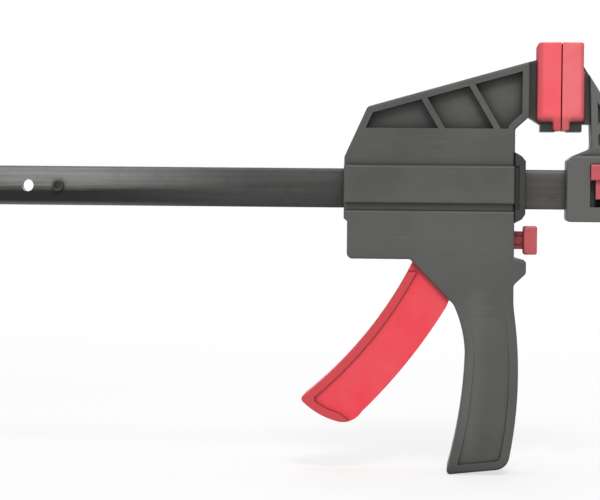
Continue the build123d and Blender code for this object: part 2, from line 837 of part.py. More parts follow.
with BuildPart() as brake_plate:
    with BuildSketch(brake_rest):
        Circle(brake_thickness / 2)
        with Locations((0, -brake_body_length / 2)):
            Rectangle(brake_thickness, brake_body_length)
    extrude(amount=brake_half, both=True)
    with BuildSketch(brake_rest):
        with Locations((0, -brake_length / 2)):
            Rectangle(brake_thickness, brake_length)
    extrude(amount=brake_tail_half, both=True)
    with BuildSketch(brake_rest):
        with Locations((0, -brake_slot_drop)):
            Rectangle(bar_height, brake_slot)
    extrude(amount=channel_half, both=True, mode=Mode.SUBTRACT)

brake_spring = coil(
    (clamp_x + brake_spring_left, 0, brake_spring_z),
    (1, 0, 0),
    brake_spring_length,
    brake_coil_radius,
    brake_wire,
    brake_turns,
)

with BuildPart() as release_button:
    head_left = -body_front + button_neck
    button_range = (button_z - button_half, button_z + button_half)
    box(
        (head_left, head_left + button_head_thickness),
        (button_z - button_head_height / 2, button_z + button_head_height / 2),
        button_head_width / 2,
    )
    fillet(release_button.edges(), 1.2)
    box((flange_left, head_left + 2.0), button_range, button_neck_width / 2)
    box(
        (flange_left, flange_right),
        (button_z - flange_rise, button_z + flange_rise),
        button_neck_width / 2 + button_flange,
    )
    # Two grooves along each side of the neck
    for groove_z in (button_z - button_half / 2, button_z + button_half / 2):
        for groove_y in (-button_neck_width / 2, button_neck_width / 2):
            block(
                (flange_right + moving_gap, head_left),
                (groove_z - 0.5, groove_z + 0.5),
                (groove_y - 0.7, groove_y + 0.7),
                Mode.SUBTRACT,
            )

# ---------------------------------------------------------------- fixed jaw and its lock
jaw_bend = (jaw_bend_x, up(jaw_arm_top - jaw_slope * (jaw_bend_x - jaw_end)))
with BuildSketch() as jaw_profile:
    with BuildLine():
        Polyline(
            (jaw_near, down(jaw_depth)),
            (jaw_near, up(jaw_shoulder)),
            (jaw_ledge[0], up(jaw_ledge[1])),
            (jaw_end + jaw_foot, up(jaw_foot_rise)),
            (jaw_end, up(jaw_arm_top)),
            jaw_bend,
            (jaw_far, up(jaw_back_rise)),
            (jaw_far, down(jaw_depth)),
            close=True,
        )
    make_face()
    round_corners(
        jaw_profile,
        (
            (jaw_near, down(jaw_depth), 2.0),
            (jaw_near, up(jaw_shoulder), 1.5),
            (jaw_end + jaw_foot, up(jaw_foot_rise), 3.0),
            (*jaw_bend, 12.0),
            (jaw_far, down(jaw_depth), 6.0),
        ),
    )
with BuildSketch() as hub_profile:
    add(jaw_profile.sketch)
    below(up(jaw_ledge[1]))
with BuildSketch() as jaw_pocket:
    add(jaw_profile.sketch)
    offset(amount=-rim)
    above(up(jaw_pocket_rise))
    with Locations((jaw_rib[0], up(jaw_rib[1]))):
        Rectangle(rib_width, bar_length, rotation=-90 + rib_angle, mode=Mode.SUBTRACT)

lock_neck_bottom = lock_head_bottom - lock_neck_height
lock_back = jaw_half - lock_face
lock_inner = bar_half_thickness + moving_gap
lock_top = up(lock_head_top)
lock_spring_y = -(lock_back + lock_inner) / 2
lock_spring_top = lock_neck_bottom - moving_gap
lock_spring_bottom = lock_spring_top - lock_spring_length


def around(centre, half):
    """A range centred on a place."""
    return centre - half, centre + half


with BuildPart() as fixed_jaw:
    add(rounded_slab(jaw_profile.sketch, jaw_arm_half, edge_round))
    add(rounded_slab(hub_profile.sketch, jaw_half, edge_round))
    with BuildSketch(side):
        Polygon(
            (plate_back, up(jaw_neck_under)),
            (jaw_end + jaw_neck_root, up(jaw_neck_under)),
            (jaw_end + jaw_neck_root, up(jaw_arm_top - jaw_slope * jaw_neck_root)),
            (plate_back, up(jaw_arm_top + jaw_slope * (jaw_end - plate_back))),
            align=None,
        )
    extrude(amount=neck_side, both=True)
    face_plate(1)
    cut_both_faces(jaw_pocket.sketch, jaw_arm_half - jaw_pocket_depth)
    box(
        (0, bar_end_reach + seat_gap),
        around(0, bar_half_height + seat_gap),
        bar_half_thickness + seat_gap,
        Mode.SUBTRACT,
    )
    # Window for the lock button, the slide behind it, the pin's slot and the spring's pocket
    block(
        around(lock_x, lock_head_width / 2 + moving_gap),
        (lock_neck_bottom - lock_travel - moving_gap, lock_top + moving_gap),
        (-jaw_half - 1, -lock_back + moving_gap),
        Mode.SUBTRACT,
    )
    block(
        around(lock_x, lock_neck_width / 2 + moving_gap),
        (lock_neck_bottom - lock_travel - moving_gap, lock_head_bottom + moving_gap),
        (-jaw_half, 0),
        Mode.SUBTRACT,
    )
    block(
        around(lock_x, lock_slot_half),
        (lock_slot_z - lock_slot_half, lock_pin_z + lock_slot_half),
        (0, lock_pin_end + moving_gap),
        Mode.SUBTRACT,
    )
    with Locations((clamp_x + lock_x, lock_spring_y, lock_spring_bottom - seat_gap)):
        Cylinder(
            lock_coil_radius + lock_wire / 2 + moving_gap,
            lock_spring_length + lock_travel,
            align=(Align.CENTER, Align.CENTER, Align.MIN),
            mode=Mode.SUBTRACT,
        )

with BuildPart() as jaw_lock_button:
    head_y = (-jaw_half - lock_proud, -lock_back)
    neck_x = around(lock_x, lock_neck_width / 2)
    block(around(lock_x, lock_head_width / 2), (lock_head_bottom, lock_top), head_y)
    fillet(jaw_lock_button.faces().sort_by(Axis.Y)[0].edges(), 1.0)
    block(neck_x, (lock_neck_bottom, lock_head_bottom + 1.0), (-jaw_half + 1.0, -lock_back))
    block(neck_x, (lock_neck_bottom, lock_head_bottom), (-lock_back - 0.5, -lock_inner))
    cross_rod(lock_x, lock_pin_z, lock_pin_radius + press_clearance, (-lock_back + 1.0, 0))

with BuildPart() as jaw_lock_pin:
    cross_rod(lock_x, lock_pin_z, lock_pin_radius, (-lock_back + 1.0 + seat_gap, lock_pin_end), Mode.ADD)
    chamfer(jaw_lock_pin.edges().filter_by(GeomType.CIRCLE), 0.4)

jaw_lock_spring = coil(
    (clamp_x + lock_x, lock_spring_y, lock_spring_bottom),
    (0, 0, 1),
    lock_spring_length,
    lock_coil_radius,
    lock_wire,
    lock_turns,
)

# ---------------------------------------------------------------- labels and files
pieces = {
    "bar": bar,
    "end_stop_pin": end_stop_pin,
    "fixed_jaw": fixed_jaw,
    "fixed_jaw_pad": fixed_jaw_pad,
    "jaw_lock_button": jaw_lock_button,
    "jaw_lock_pin": jaw_lock_pin,
    "jaw_lock_spring": jaw_lock_spring,
    "near_body_shell": near_body_shell,
    "far_body_shell": far_body_shell,
    "body_screws": body_screws,
    "front_guide": front_guide,
    "moving_jaw_pad": moving_jaw_pad,
    "trigger": trigger,
    "trigger_pivot_pin": trigger_pivot_pin,
    "rear_drive_plate": rear_drive_plate,
    "front_drive_plate": front_drive_plate,
    "drive_spring": drive_spring,
    "brake_plate": brake_plate,
    "brake_spring": brake_spring,
    "release_button": release_button,
}
os.makedirs("parts", exist_ok=True)
for name, piece in pieces.items():
    piece.part.label = name
    export_step(piece.part, f"parts/{name}.step")
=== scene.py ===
import math

import bmesh
import bpy
import numpy as np
from mathutils import Matrix, Vector


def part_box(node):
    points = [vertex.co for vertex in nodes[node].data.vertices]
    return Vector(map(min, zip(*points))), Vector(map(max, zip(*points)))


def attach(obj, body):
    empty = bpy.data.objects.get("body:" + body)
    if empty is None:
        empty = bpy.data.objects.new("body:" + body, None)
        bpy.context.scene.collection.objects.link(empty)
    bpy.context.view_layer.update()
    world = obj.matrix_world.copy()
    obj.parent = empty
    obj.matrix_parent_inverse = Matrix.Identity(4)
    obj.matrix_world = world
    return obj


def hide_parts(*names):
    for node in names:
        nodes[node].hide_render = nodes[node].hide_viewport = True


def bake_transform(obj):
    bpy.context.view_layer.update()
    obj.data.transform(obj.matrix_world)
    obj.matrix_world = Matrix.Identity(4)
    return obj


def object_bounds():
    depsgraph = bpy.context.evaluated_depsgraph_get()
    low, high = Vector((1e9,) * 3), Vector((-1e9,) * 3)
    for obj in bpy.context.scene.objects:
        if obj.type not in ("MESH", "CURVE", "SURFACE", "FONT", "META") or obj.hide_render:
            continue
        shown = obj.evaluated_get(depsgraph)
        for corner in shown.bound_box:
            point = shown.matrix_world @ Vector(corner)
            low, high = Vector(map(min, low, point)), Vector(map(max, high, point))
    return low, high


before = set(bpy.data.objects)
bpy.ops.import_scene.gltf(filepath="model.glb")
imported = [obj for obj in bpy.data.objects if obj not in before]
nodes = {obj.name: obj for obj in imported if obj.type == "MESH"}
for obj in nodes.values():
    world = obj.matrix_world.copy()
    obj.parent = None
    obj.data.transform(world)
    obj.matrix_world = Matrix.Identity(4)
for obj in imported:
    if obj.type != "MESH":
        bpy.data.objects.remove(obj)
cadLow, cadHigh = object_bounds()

scene = bpy.context.scene
millimetre = 0.001
weldDistance = 1e-7
white = (1.0, 1.0, 1.0, 1.0)
padGap = 0.3 * millimetre
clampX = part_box("moving_jaw_pad")[1].x + padGap / 2  # the plane where the two pads meet

cameraSet = {
    "aim": (clampX - 0.1374, 0.0, -0.03335),
    "distance": 1.2,
    "aside": 4.1,  # degrees to the right of straight on
    "above": 1.7,  # degrees
    "roll": 0.5,  # degrees
    "lens": 134.8,
    "clip": (0.05, 50.0),
}


def aimedMatrix(place, forward, roll=0.0):
    # Columns: right and up turned about the line of sight by the roll, then backwards
    forward = forward.normalized()
    right = forward.cross(Vector((0, 0, 1))).normalized()
    up = right.cross(forward)
    turn = math.radians(roll)
    turnedRight = right * math.cos(turn) + up * math.sin(turn)
    turnedUp = up * math.cos(turn) - right * math.sin(turn)
    columns = Matrix((turnedRight, turnedUp, -forward)).transposed().to_4x4()
    return Matrix.Translation(place) @ columns


def makeCamera(look):
    aside, above = math.radians(look["aside"]), math.radians(look["above"])
    forward = Vector(
        (-math.sin(aside) * math.cos(above), math.cos(aside) * math.cos(above), -math.sin(above))
    )
    data = bpy.data.cameras.new("studioCamera")
    data.lens = look["lens"]
    data.clip_start, data.clip_end = look["clip"]
    camera = bpy.data.objects.new("studioCamera", data)
    scene.collection.objects.link(camera)
    place = Vector(look["aim"]) - forward * look["distance"]
    camera.matrix_world = aimedMatrix(place, forward, look["roll"])
    scene.camera = camera


makeCamera(cameraSet)
print("camera placed")


def addNode(tree, kind, values=None, **settings):
    # A value that is a socket is linked, and any other is written on the input
    node = tree.nodes.new("ShaderNode" + kind)
    for key, value in settings.items():
        setattr(node, key, value)
    for key, value in (values or {}).items():
        if isinstance(value, bpy.types.NodeSocket):
            tree.links.new(value, node.inputs[key])
        else:
            node.inputs[key].default_value = value
    return node


def newGroup(name, inputs, outputs):
    # Every input is a number that each material sets for itself
    tree = bpy.data.node_groups.new(name, "ShaderNodeTree")
    for way, labels in (("INPUT", inputs), ("OUTPUT", outputs)):
        for label in labels:
            tree.interface.new_socket(label, in_out=way, socket_type="NodeSocketFloat")
    start = tree.nodes.new("NodeGroupInput")
    return tree, start.outputs, tree.nodes.new("NodeGroupOutput").inputs


def addGroup(tree, group, values):
    node = addNode(tree, "Group")
    node.node_tree = group
    for key, value in values.items():
        node.inputs[key].default_value = value
    return node.outputs


def math2(tree, operation, first, second=0.0):
    return addNode(tree, "Math", {0: first, 1: second}, operation=operation).outputs[0]


def times(tree, *factors):
    product = factors[0]
    for factor in factors[1:]:
        product = math2(tree, "MULTIPLY", product, factor)
    return product


def remap(tree, value, low, high, toLow=0.0, toHigh=1.0, ease="LINEAR"):
    values = {"Value": value, "From Min": low, "From Max": high, "To Min": toLow, "To Max": toHigh}
    return addNode(tree, "MapRange", values, clamp=True, interpolation_type=ease).outputs["Result"]


def smooth(tree, value, low, high, toLow=0.0, toHigh=1.0):
    return remap(tree, value, low, high, toLow, toHigh, "SMOOTHSTEP")


def withAlpha(colour):
    return colour if isinstance(colour, bpy.types.NodeSocket) else (*colour, 1.0)


def mixColour(tree, factor, first, second, blend="MIX"):
    # Inputs 6 and 7 are the node's two colours
    values = {0: factor, 6: withAlpha(first), 7: withAlpha(second)}
    return addNode(tree, "Mix", values, data_type="RGBA", blend_type=blend).outputs[2]


def objectPlace(tree):
    return addNode(tree, "TexCoord").outputs["Object"]


def objectAxes(tree):
    return addNode(tree, "SeparateXYZ", {0: objectPlace(tree)}).outputs


def noise(tree, place, scale, detail, roughness=0.5, distortion=0.0):
    values = {"Vector": place, "Scale": scale, "Detail": detail}
    values.update({"Roughness": roughness, "Distortion": distortion})
    return addNode(tree, "TexNoise", values).outputs["Fac"]


def makeEdgeWearAndShading(look):
    # The angle between the surface and its own rounded version shows where an edge is
    tree, inputs, outputs = newGroup("edgeWearAndShading", ("Radius", "Breakup"), ("Mask",))
    bevel = addNode(tree, "Bevel", {"Radius": inputs["Radius"]}, samples=look["samples"]).outputs[0]
    normal = addNode(tree, "NewGeometry").outputs["Normal"]
    dot = addNode(tree, "VectorMath", {0: bevel, 1: normal}, operation="DOT_PRODUCT").outputs["Value"]
    edge = remap(tree, math2(tree, "SUBTRACT", 1.0, dot), *look["edge"])
    broken = noise(tree, objectPlace(tree), inputs["Breakup"], look["detail"], look["roughness"])
    wornAndEdgeShade = remap(tree, broken, *look["breakup"], look["least"], 1.0)
    tree.links.new(times(tree, edge, wornAndEdgeShade), outputs["Mask"])
    return tree


edgeWearAndShading = makeEdgeWearAndShading(
    {
        "samples": 6,
        "edge": (0.03, 0.28),  # one less the cosine of the angle
        "detail": 5.0,
        "roughness": 0.6,
        "breakup": (0.35, 0.62),
        "least": 0.25,
    }
)


def makeCavityShade(look):
    # Places that see little of the space round them within the distance, which the materials paint darker as
    # shade
    tree, inputs, outputs = newGroup("cavityShade", ("Distance", "Strength", "Open", "Shut"), ("Mask",))
    values = {"Distance": inputs["Distance"]}
    shade = addNode(tree, "AmbientOcclusion", values, samples=look["samples"]).outputs["AO"]
    shut = smooth(tree, math2(tree, "SUBTRACT", 1.0, shade), inputs["Open"], inputs["Shut"])
    tree.links.new(times(tree, shut, inputs["Strength"]), outputs["Mask"])
    return tree


cavityShade = makeCavityShade({"samples": 8})


def makeMouldGrain(look):
    # A fine spark-eroded grain, a slow drift in tone, and small dust specks
    labels = ("Grain Scale", "Drift Scale")
    tree, inputs, outputs = newGroup("mouldGrain", labels, ("Height", "Drift", "Speck"))
    place = objectPlace(tree)
    grain = noise(tree, place, inputs["Grain Scale"], look["grainDetail"], look["grainRoughness"])
    drift = noise(tree, place, inputs["Drift Scale"], look["driftDetail"], look["driftRoughness"])
    cells = addNode(tree, "TexVoronoi", {"Vector": place, "Scale": look["speckScale"]}, feature="F1")
    speck = remap(tree, cells.outputs["Distance"], *look["speck"], 1.0, 0.0)
    tree.links.new(grain, outputs["Height"])
    tree.links.new(remap(tree, drift, *look["drift"]), outputs["Drift"])
    tree.links.new(speck, outputs["Speck"])
    return tree


mouldGrain = makeMouldGrain(
    {
        "grainDetail": 2.0,
        "grainRoughness": 0.7,
        "driftDetail": 4.0,
        "driftRoughness": 0.55,
        "drift": (0.3, 0.7),
        "speckScale": 420.0,
        "speck": (0.04, 0.1),  # from a speck's solid middle to its rim
    }
)


def makeHandling(look):
    # Rubbed patches, and short hairline scratches at two slants
    tree, inputs, outputs = newGroup("handling", ("Patch Scale", "Scratch Scale"), ("Rub", "Scratch"))
    place = objectPlace(tree)
    patch = noise(tree, place, inputs["Patch Scale"], *look["patchNoise"])
    lines = []
    for slant in look["slants"]:
        values = {"Vector": place, "Rotation": (0, slant, 0), "Scale": look["stretch"]}
        turned = addNode(tree, "Mapping", values).outputs[0]
        line = noise(tree, turned, inputs["Scratch Scale"], look["scratchDetail"])
        lines.append(remap(tree, line, *look["scratch"]))
    tree.links.new(remap(tree, patch, *look["rub"]), outputs["Rub"])
    tree.links.new(math2(tree, "MAXIMUM", *lines), outputs["Scratch"])
    return tree


handling = makeHandling(
    {
        "patchNoise": (6.0, 0.65, 0.4),  # detail, roughness, distortion
        "rub": (0.42, 0.66),
        "slants": (0.6, -0.9),
        "stretch": (1.0, 8.0, 26.0),
        "scratchDetail": 1.0,
        "scratch": (0.7, 0.76),
    }
)


def makeRolledSteel(look):
    # Streaks along the bar: noise that is stretched along X
    tree, inputs, outputs = newGroup("rolledSteel", ("Streak Scale",), ("Streak", "Mottle"))
    place = objectPlace(tree)
    stretched = addNode(tree, "Mapping", {"Vector": place, "Scale": look["stretch"]}).outputs[0]
    streak = noise(tree, stretched, inputs["Streak Scale"], *look["streakNoise"])
    tree.links.new(streak, outputs["Streak"])
    tree.links.new(noise(tree, place, look["mottleScale"], *look["mottleNoise"]), outputs["Mottle"])
    return tree


rolledSteel = makeRolledSteel(
    {
        "stretch": (1.0, 45.0, 45.0),
        "streakNoise": (7.0, 0.65),  # detail, roughness
        "mottleScale": 170.0,
        "mottleNoise": (6.0, 0.7),
    }
)


def makeAcross():
    # How far a place is from the part's middle plane, as a smooth step between two distances
    tree, inputs, outputs = newGroup("across", ("From", "To"), ("Mask",))
    distance = math2(tree, "ABSOLUTE", objectAxes(tree)["Y"])
    tree.links.new(smooth(tree, distance, inputs["From"], inputs["To"]), outputs["Mask"])
    return tree


across = makeAcross()


def makeGripSheen(look):
    # A painted highlight: a smooth lighter strip down the middle of the grip, which fades out above its top
    # and towards its tail
    tree, inputs, outputs = newGroup("gripSheen", ("Strength",), ("Mask",))
    axes = objectAxes(tree)
    upright = math2(tree, "SUBTRACT", axes["X"], times(tree, axes["Z"], look["lean"]))
    off = math2(tree, "ABSOLUTE", math2(tree, "SUBTRACT", upright, look["place"]))
    strip = smooth(tree, off, 0.0, look["halfWidth"], 1.0, 0.0)
    top = smooth(tree, axes["Z"], *look["top"], 1.0, 0.0)
    tail = smooth(tree, axes["Z"], *look["tail"])
    tree.links.new(times(tree, top, tail, strip, inputs["Strength"]), outputs["Mask"])
    return tree


gripSheen = makeGripSheen(
    {
        "lean": 0.06,
        "place": clampX - 0.0395,
        "halfWidth": 0.0085,
        "top": (-0.07, -0.04),
        "tail": (-0.15, -0.12),
    }
)


def makeFootShade(look):
    # Painted shade on the feet of the two face plates, which stick out beneath the pads
    tree, inputs, outputs = newGroup("footShade", ("Strength",), ("Mask",))
    axes = objectAxes(tree)
    off = math2(tree, "ABSOLUTE", math2(tree, "SUBTRACT", axes["X"], look["place"]))
    near = smooth(tree, off, *look["reach"], 1.0, 0.0)
    below = smooth(tree, axes["Z"], *look["top"], 1.0, 0.0)
    above = smooth(tree, axes["Z"], *look["bottom"])
    tree.links.new(times(tree, near, below, above, inputs["Strength"]), outputs["Mask"])
    return tree


footShade = makeFootShade(
    {
        "place": clampX,
        "reach": (0.0118, 0.0126),
        "top": (0.036, 0.040),
        "bottom": (0.026, 0.0275),
    }
)


def startMaterial(name):
    material = bpy.data.materials.new(name)
    material.use_nodes = True
    tree = material.node_tree
    return material, tree, tree.nodes["Principled BSDF"]


def addHandling(tree, look):
    values = {"Patch Scale": look["patchScale"], "Scratch Scale": look["scratchScale"]}
    return addGroup(tree, handling, values)


def addEdgeWearAndShading(tree, look):
    values = {"Radius": look["edgeRadius"], "Breakup": look["breakup"]}
    return addGroup(tree, edgeWearAndShading, values)["Mask"]


def addCavityShade(tree, look):
    values = {"Distance": look["cavityReach"], "Strength": look["cavityStrength"]}
    values.update({"Open": look["open"], "Shut": look["shut"]})
    return addGroup(tree, cavityShade, values)["Mask"]


def endMaterial(tree, shader, colour, roughness, height, look):
    values = {"Height": height, "Strength": look["bump"], "Distance": look["bumpReach"]}
    normal = addNode(tree, "Bump", values).outputs[0]
    for label, value in (("Base Color", colour), ("Roughness", roughness), ("Normal", normal)):
        tree.links.new(value, shader.inputs[label])
    shader.inputs["Specular IOR Level"].default_value = look["specular"]


def plasticFinish(name, look):
    material, tree, shader = startMaterial(name)
    grain = addGroup(tree, mouldGrain, {"Grain Scale": look["grainScale"], "Drift Scale": look["driftScale"]})
    rubbed = addHandling(tree, look)
    edge = addEdgeWearAndShading(tree, look)
    colour = mixColour(tree, grain["Drift"], look["colour"], look["drift"])
    if look["proud"]:
        # The trigger's proud flange is painted a darker red as shade
        proud = addGroup(tree, across, {"From": look["proud"][0], "To": look["proud"][1]})
        colour = mixColour(tree, proud["Mask"], colour, look["proudShadeColour"])
    # Specks and scratches are real marks; the edge mask paints edge wear together with edge shading
    wornAndEdgeShade = ((grain["Speck"], look["dust"]), (rubbed["Scratch"], look["scratches"]), (edge, look["edgeWearAndShade"]))
    for mask, strength in wornAndEdgeShade:
        colour = mixColour(tree, times(tree, mask, strength), colour, look["wornAndEdgeShade"])
    # Hollows are painted darker as shade
    colour = mixColour(tree, addCavityShade(tree, look), colour, look["darkToneAndShade"])
    # A painted highlight down the middle of the grip
    if look["gripSheenStrength"]:
        strip = addGroup(tree, gripSheen, {"Strength": look["gripSheenStrength"]})
        colour = mixColour(tree, strip["Mask"], colour, look["gripSheenColour"])
    # The plates' feet beneath the pads are painted darker as shade
    if look["foot"]:
        foot = addGroup(tree, footShade, {"Strength": look["foot"]})
        colour = mixColour(tree, foot["Mask"], colour, look["darkToneAndShade"])
    # The pads' lower edges and lips are painted darker as shade
    if look["lowShade"]:
        rim = addNode(tree, "Attribute", attribute_name="lowShade").outputs["Fac"]
        colour = mixColour(tree, times(tree, rim, look["lowShade"]), colour, look["padShade"])
    if look["seam"]:
        line = addGroup(tree, across, {"From": look["seamWidth"] / 2, "To": look["seamWidth"]})
        seam = remap(tree, line["Mask"], 0.0, 1.0, look["seam"], 0.0)
        colour = mixColour(tree, seam, colour, look["darkToneAndShade"])
    rough = remap(tree, rubbed["Rub"], 0.0, 1.0, look["roughness"], look["rubbedRoughness"])
    rough = math2(tree, "SUBTRACT", rough, times(tree, edge, look["edgeGloss"]))
    endMaterial(tree, shader, colour, rough, grain["Height"], look)
    return material


def steelFinish(name, look, paintedLightOf=None):
    material, tree, shader = startMaterial(name)
    rolled = addGroup(tree, rolledSteel, {"Streak Scale": look["streakScale"]})
    rubbed = addHandling(tree, look)
    edge = addEdgeWearAndShading(tree, look)
    streak = remap(tree, rolled["Streak"], *look["streakSpan"])
    mottle = remap(tree, rolled["Mottle"], *look["mottleSpan"], 0.0, look["scale"])
    colour = mixColour(tree, streak, look["colour"], look["streak"])
    colour = mixColour(tree, mottle, colour, look["darkToneAndShade"])
    colour = mixColour(tree, times(tree, edge, look["edgeWearAndShade"]), colour, look["wornAndEdgeShade"])
    # Hollows are painted darker as shade
    colour = mixColour(tree, addCavityShade(tree, look), colour, look["darkToneAndShade"])
    # The bar's painted reflection and shade multiply its colour
    if paintedLightOf:
        colour = mixColour(tree, 1.0, paintedLightOf(tree, look), colour, "MULTIPLY")
    rough = remap(tree, rubbed["Rub"], 0.0, 1.0, look["roughness"], look["rubbedRoughness"])
    endMaterial(tree, shader, colour, rough, rolled["Streak"], look)
    shader.inputs["Metallic"].default_value = look["metallic"]
    return material


plasticLook = {
    "patchScale": 22.0,
    "breakup": 300.0,
    "edgeGloss": 0.1,  # taken off the roughness along worn edges
    "bumpReach": 0.00008,
    "proud": (),
    "seam": 0.0,
    "gripSheenStrength": 0.0,
    "foot": 0.0,
    "lowShade": 0.0,
}
bodyLook = dict(
    plasticLook,
    colour=(0.059, 0.060, 0.056),
    drift=(0.085, 0.085, 0.080),
    # Edges are painted lighter, as wear and as a painted highlight
    wornAndEdgeShade=(0.15, 0.15, 0.145),
    # The dark colour of the mould seam, and of the painted shade in hollows and on the plates' feet
    darkToneAndShade=(0.008, 0.008, 0.0075),
    grainScale=2600.0,
    driftScale=26.0,
    scratchScale=55.0,
    scratches=0.22,
    dust=0.2,
    edgeWearAndShade=0.6,
    edgeRadius=0.0008,
    cavityReach=0.011,
    cavityStrength=0.8,
    open=0.05,
    shut=0.6,
    seam=0.8,
    seamWidth=0.00016,
    gripSheenStrength=0.7,
    gripSheenColour=(0.105, 0.105, 0.1),
    foot=0.85,
    roughness=0.56,
    rubbedRoughness=0.4,
    specular=0.4,
    bump=0.35,
)
guideLook = dict(
    bodyLook,
    colour=(0.021, 0.021, 0.02),
    drift=(0.028, 0.028, 0.027),
    wornAndEdgeShade=(0.1, 0.1, 0.095),
    grainScale=2200.0,
    cavityReach=0.005,
    edgeWearAndShade=0.4,
    edgeRadius=0.0006,
    seam=0.0,
    gripSheenStrength=0.0,
    foot=0.0,
)
jawLook = dict(
    bodyLook,
    colour=(0.092, 0.092, 0.088),
    drift=(0.108, 0.108, 0.103),
    seam=0.25,
    gripSheenStrength=0.0,
)
redLook = dict(
    plasticLook,
    colour=(0.80, 0.040, 0.064),
    drift=(0.80, 0.070, 0.088),
    # The trigger's edges are painted darker, as shade
    wornAndEdgeShade=(0.46, 0.030, 0.042),
    darkToneAndShade=(0.24, 0.006, 0.012),
    proud=(0.0112, 0.0121),  # the flange stands further than this from the middle plane
    # A darker red painted on the flange as shade
    proudShadeColour=(0.58, 0.046, 0.060),
    grainScale=1800.0,
    driftScale=62.0,
    scratchScale=48.0,
    scratches=0.14,
    dust=0.1,
    edgeWearAndShade=0.6,
    edgeRadius=0.0012,
    cavityReach=0.007,
    cavityStrength=1.0,
    open=0.07,
    shut=0.7,
    seam=0.3,
    seamWidth=0.00012,
    roughness=0.42,
    rubbedRoughness=0.34,
    specular=0.45,
    bump=0.22,
)
buttonLook = dict(
    redLook,
    colour=(0.5, 0.085, 0.1),
    drift=(0.46, 0.075, 0.09),
    wornAndEdgeShade=(0.62, 0.2, 0.22),
    proud=(),
    driftScale=80.0,
    seam=0.0,
)
padLook = dict(
    plasticLook,
    colour=(0.82, 0.085, 0.11),
    drift=(0.80, 0.115, 0.135),
    wornAndEdgeShade=(0.86, 0.22, 0.24),
    darkToneAndShade=(0.2, 0.006, 0.01),
    grainScale=1500.0,
    driftScale=60.0,
    scratchScale=50.0,
    scratches=0.08,
    dust=0.12,
    edgeWearAndShade=0.35,
    edgeRadius=0.0006,
    cavityReach=0.006,
    cavityStrength=0.95,
    open=0.1,
    shut=0.7,
    # Painted shade on the pads' lower edges and lips
    lowShade=0.88,
    padShade=(0.19, 0.026, 0.032),
    roughness=0.58,
    rubbedRoughness=0.5,
    specular=0.35,
    bump=0.3,
)
# The fixed pad's rubber is a paler copy of the moving pad's
palerPadLook = dict(padLook, colour=(0.76, 0.12, 0.135), drift=(0.78, 0.17, 0.18))
bodyPlastic = plasticFinish("bodyPlastic", bodyLook)
guidePlastic = plasticFinish("guidePlastic", guideLook)
jawPlastic = plasticFinish("jawPlastic", jawLook)
redPlastic = plasticFinish("redPlastic", redLook)
buttonPlastic = plasticFinish("buttonPlastic", buttonLook)
padRubber = plasticFinish("padRubber", padLook)
palerPadRubber = plasticFinish("palerPadRubber", palerPadLook)

steelLook = {
    "patchScale": 30.0,
    "scratchScale": 80.0,
    "breakup": 500.0,
    "cavityReach": 0.004,
    "cavityStrength": 0.8,
    "open": 0.12,
    "shut": 0.8,
    "streakSpan": (0.35, 0.65),
    "mottleSpan": (0.5, 0.75),
    "bumpReach": 0.0001,
}
barLook = dict(
    steelLook,
    colour=(1.0, 0.985, 0.97),
    streak=(0.74, 0.715, 0.70),
    wornAndEdgeShade=(1.9, 1.85, 1.8),
    darkToneAndShade=(0.35, 0.32, 0.30),
    streakScale=9.0,
    scale=0.35,
    edgeWearAndShade=0.35,
    edgeRadius=0.001,
    metallic=0.1,
    specular=0.2,
    roughness=0.45,
    rubbedRoughness=0.36,
    bump=0.12,
    # These tones paint the bar's reflection and shade. Heights are in half heights of the bar, and places
    # along it in metres
    freeTones=(0.014, 0.27),
    step=(-0.45, 0.45),
    ragged=0.3,
    raggedScale=6.0,
    raggedSpan=(0.3, 0.7),
    lowEdge=-0.75,
    lowEdgeTone=0.14,
    topEdge=0.86,
    topEdgeTone=0.3,
    innerTones=(0.045, 0.085),
    fade=(0.015, 0.13),
    head=(0.17, 0.26),
    headTones=(0.1, 0.15),
    headStep=(0.62, 0.8),
)


def barPaintedLight(tree, look):
    # Painted reflection and shade: light above and dark below with ragged streaks between, fading towards the
    # sliding body, and a plain tone with a painted highlight along its upper edge past it
    low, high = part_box("bar")
    axes = objectAxes(tree)
    height = remap(tree, axes["Z"], low.z, high.z, -1.0, 1.0)
    rolled = addGroup(tree, rolledSteel, {"Streak Scale": look["raggedScale"]})
    ragged = remap(tree, rolled["Streak"], *look["raggedSpan"], -look["ragged"], look["ragged"])
    free = smooth(tree, math2(tree, "ADD", height, ragged), *look["step"], *look["freeTones"])
    free = math2(tree, "ADD", free, smooth(tree, height, -1.0, look["lowEdge"], look["lowEdgeTone"], 0.0))
    free = times(tree, free, smooth(tree, height, look["topEdge"], 1.0, 1.0, look["topEdgeTone"]))
    inner = smooth(tree, height, -1.0, 1.0, *look["innerTones"])
    head = smooth(tree, height, *look["headStep"], *look["headTones"])
    tone = mixColour(tree, smooth(tree, axes["X"], *look["fade"]), free, inner)
    return mixColour(tree, smooth(tree, axes["X"], *look["head"]), tone, head)


